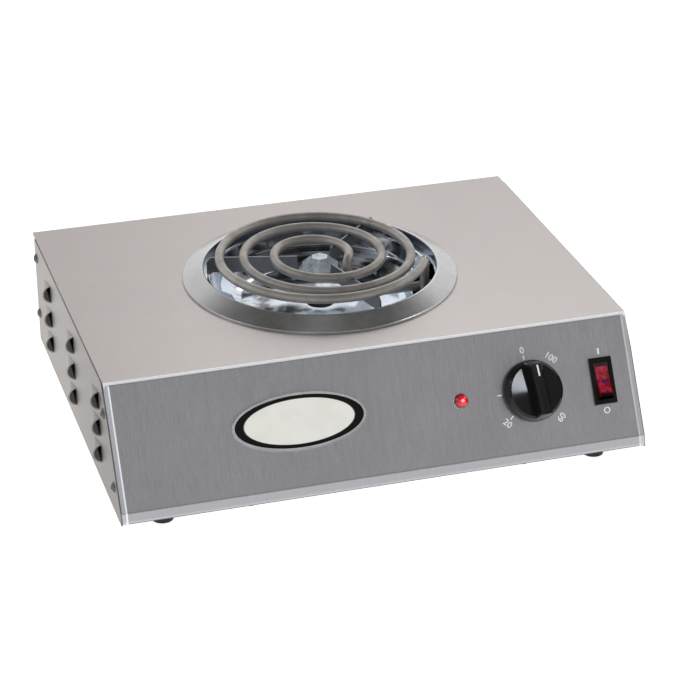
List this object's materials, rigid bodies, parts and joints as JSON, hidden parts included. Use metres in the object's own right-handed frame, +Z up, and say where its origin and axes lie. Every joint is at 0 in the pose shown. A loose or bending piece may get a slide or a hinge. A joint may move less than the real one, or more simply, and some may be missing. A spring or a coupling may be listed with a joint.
{
  "type": "hot plate burner",
  "caption": "Countertop electric hot plate: folded steel body, lift-up coil over a polished drip bowl, front knob, rocker switch and pilot lamp.",
  "frame": {"origin": "on the surface that the feet stand on, under the middle of the whole object's box", "axes": "+X to the right of a person facing the controls, +Y towards the back, +Z up"},
  "size_m": [0.3752, 0.3028, 0.1076],
  "materials": {
    "brushed_shell": "fine vertical brushing, satin",
    "side_steel": "satin sheet steel",
    "galvanised": "zinc coated sheet, dull",
    "screw_chrome": "bright plated",
    "ring_steel": "spun, satin",
    "bowl_chrome": "mirror plated",
    "coil_sheath": "oxidised nickel alloy sheath, matte",
    "blade_steel": "plain",
    "support_chrome": "plated, dulled by heat",
    "ceramic": "unglazed",
    "brass": "tinned at the ends",
    "black_moulding": "fine moulded texture",
    "black_gloss": "glossy",
    "nylon": "natural",
    "red_lens": "clear red",
    "red_rocker": "clear red",
    "clear_glass": "clear",
    "badge_face": "off-white oval with a black band",
    "badge_silver": "bright",
    "black_rubber": "matte",
    "wire_sleeve": "braided heat-proof sleeve"
  },
  "bodies": {
    "housing": {"back_panel": "side_steel", "badge_plate": "badge_face", "badge_rim": "badge_silver", "base_plate": "galvanised", "base_screws": "screw_chrome", "control_bimetal": "brass", "control_case": "black_moulding", "control_screws": "screw_chrome", "control_tabs": "brass", "control_terminal_board": "black_moulding", "cord_gland": "black_moulding", "drip_bowl": "bowl_chrome", "earth_nut": "screw_chrome", "earth_stud": "screw_chrome", "foot_front_left": "black_rubber", "foot_front_right": "black_rubber", "foot_nuts": "screw_chrome", "foot_rear_left": "black_rubber", "foot_rear_right": "black_rubber", "foot_screws": "screw_chrome", "gland_nut": "black_moulding", "heat_shield": "galvanised", "lamp_body": "nylon", "lamp_bulb": "clear_glass", "lamp_clip": "blade_steel", "lamp_lens": "red_lens", "left_side_panel": "side_steel", "left_side_screws": "screw_chrome", "receptacle_block": "ceramic", "receptacle_bracket": "galvanised", "receptacle_contacts": "brass", "receptacle_screw": "screw_chrome", "right_side_panel": "side_steel", "right_side_screws": "screw_chrome", "switch_housing": "black_moulding", "switch_tabs": "brass", "terminal_block": "nylon", "terminal_screws": "screw_chrome", "top_shell": "brushed_shell", "trim_ring": "ring_steel", "wire_control_to_element": "wire_sleeve", "wire_control_to_lamp": "wire_sleeve", "wire_supply_to_element": "wire_sleeve", "wire_supply_to_switch": "wire_sleeve", "wire_switch_to_control": "wire_sleeve"},
    "knob": {"control_knob": "black_gloss", "knob_spring": "blade_steel", "control_shaft": "blade_steel", "control_cam": "nylon"},
    "rocker": {"switch_rocker": "red_rocker"},
    "element": {"heating_coil": "coil_sheath", "element_blades": "blade_steel", "coil_support": "support_chrome", "support_medallion": "support_chrome"}
  },
  "joints": [
    {"name": "knob_turn", "type": "hinge", "parent": "housing", "child": "knob", "pos_m": [0.1066, -0.12384, 0.05213], "axis": [0, -0.8606, 0.5093], "continuous": true},
    {"name": "rocker_tilt", "type": "hinge", "parent": "housing", "child": "rocker", "pos_m": [0.1575, -0.12255, 0.05137], "axis": [1, 0, 0], "range_deg": [0, 20]},
    {"name": "element_lift", "type": "hinge", "parent": "housing", "child": "element", "pos_m": [0.096, -0.00097, 0.078], "axis": [0, 1, 0], "range_deg": [0, 12]}
  ]
}
